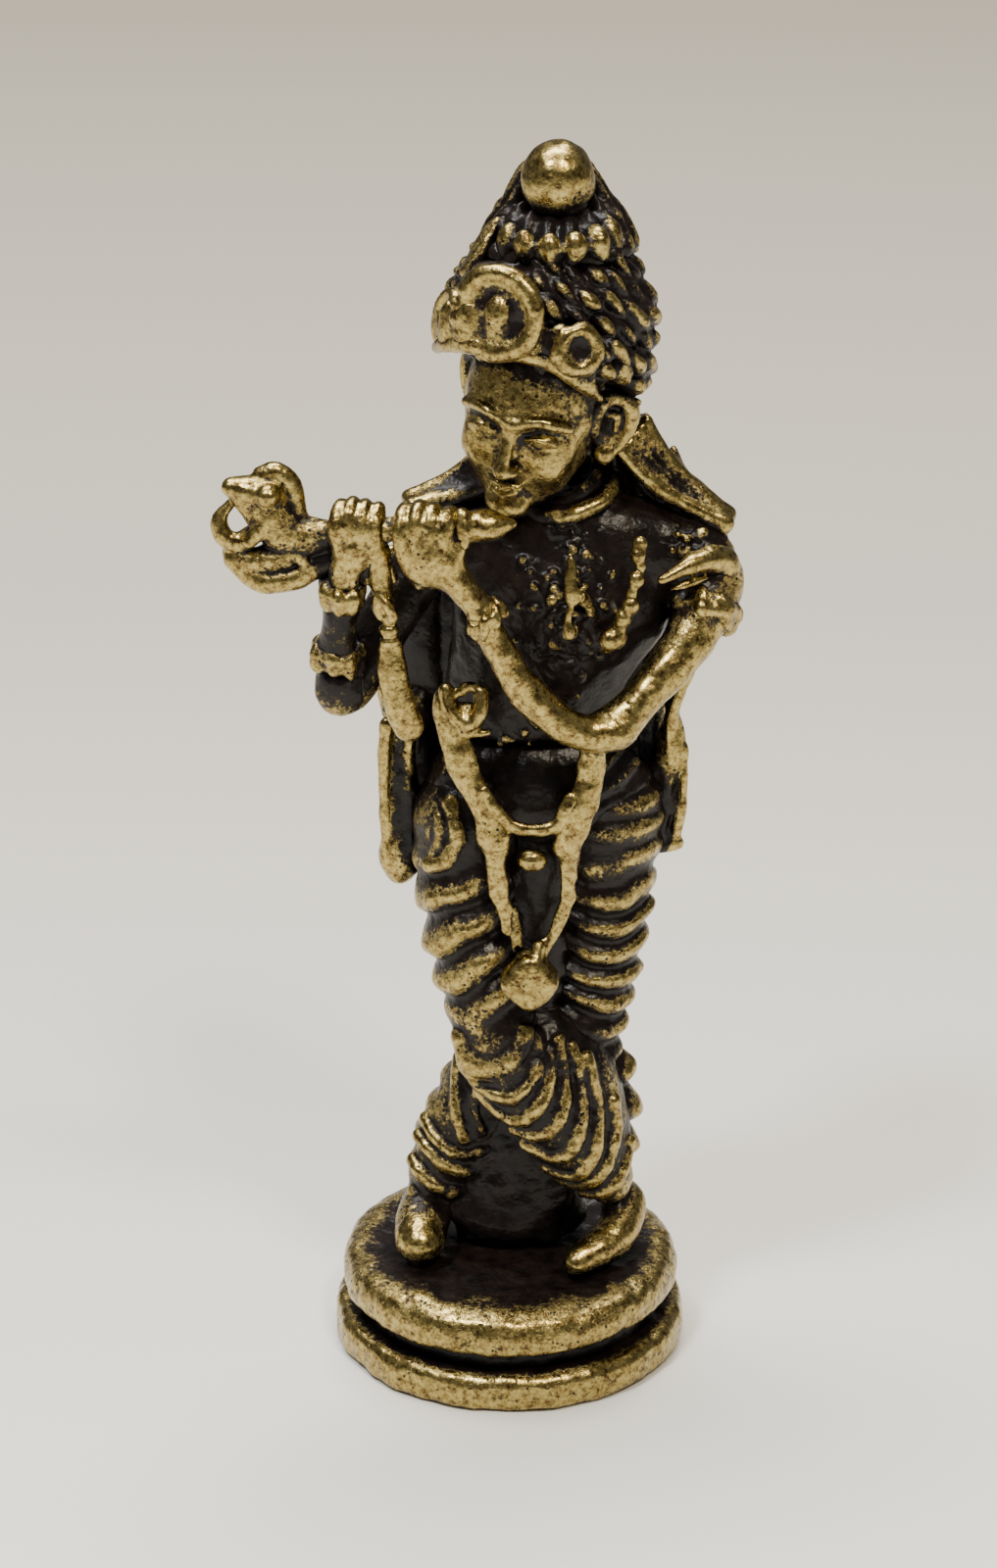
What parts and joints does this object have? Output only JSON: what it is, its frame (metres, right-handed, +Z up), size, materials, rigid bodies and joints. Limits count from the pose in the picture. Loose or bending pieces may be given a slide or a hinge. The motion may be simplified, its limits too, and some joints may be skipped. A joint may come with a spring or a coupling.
{
  "type": "miniature brass figurine of a flute player",
  "caption": "Small antiqued cast brass figurine of a robed flute player with crossed legs, on a round base with a groove, free-standing.",
  "frame": {"origin": "centre of the base's flat underside", "axes": "+Z up, the figure faces -Y, +X is the figure's left side"},
  "size_m": [0.0199, 0.0142, 0.05],
  "materials": {
    "aged_brass": "worn, hand-rubbed brass over a dark patina",
    "dark_brass": "glossy near-black patina left in the hollows"
  },
  "bodies": {
    "root": {"base_lower_disc": "aged_brass", "base_upper_disc": "aged_brass", "right_foot": "aged_brass", "left_foot": "aged_brass", "leg_support": "dark_brass", "pendant": "aged_brass", "belt_jewel": "aged_brass", "sash_knot": "aged_brass", "right_sash": "aged_brass", "left_sash": "aged_brass", "sash_cord": "aged_brass", "right_sash_end": "aged_brass", "left_sash_end": "aged_brass", "bead_strand": "aged_brass", "garland": "dark_brass", "collar": "aged_brass", "right_thigh": "aged_brass", "right_shin": "aged_brass", "left_thigh": "aged_brass", "left_shin": "aged_brass", "dhoti_hem": "aged_brass", "dhoti_pleats": "dark_brass", "flute": "aged_brass", "flute_mouthpiece": "aged_brass", "flute_beast_head": "aged_brass", "flute_tassel": "aged_brass", "left_hand": "aged_brass", "right_hand": "aged_brass", "left_bracelet": "aged_brass", "right_bracelet": "aged_brass", "left_armlet": "aged_brass", "right_armlet": "aged_brass", "left_forearm": "aged_brass", "right_forearm": "aged_brass", "left_upper_arm": "aged_brass", "right_upper_arm": "dark_brass", "shoulder_drape": "aged_brass", "right_shawl_end": "aged_brass", "left_shawl_end": "aged_brass", "shawl_back": "dark_brass", "crown_knob": "aged_brass", "crown_bead_ring": "aged_brass", "crown_leaf": "aged_brass", "tiara_rim": "aged_brass", "tiara_band": "aged_brass", "front_medallion": "aged_brass", "left_medallion": "aged_brass", "right_medallion": "aged_brass", "left_tiara_leaf": "aged_brass", "turban": "dark_brass", "crown_cone": "dark_brass", "head": "aged_brass", "left_ear": "aged_brass", "right_ear": "aged_brass", "left_hair_lock": "dark_brass", "right_hair_lock": "dark_brass", "nape_hair": "dark_brass", "hips": "dark_brass", "torso": "dark_brass", "neck": "dark_brass"}
  },
  "joints": []
}
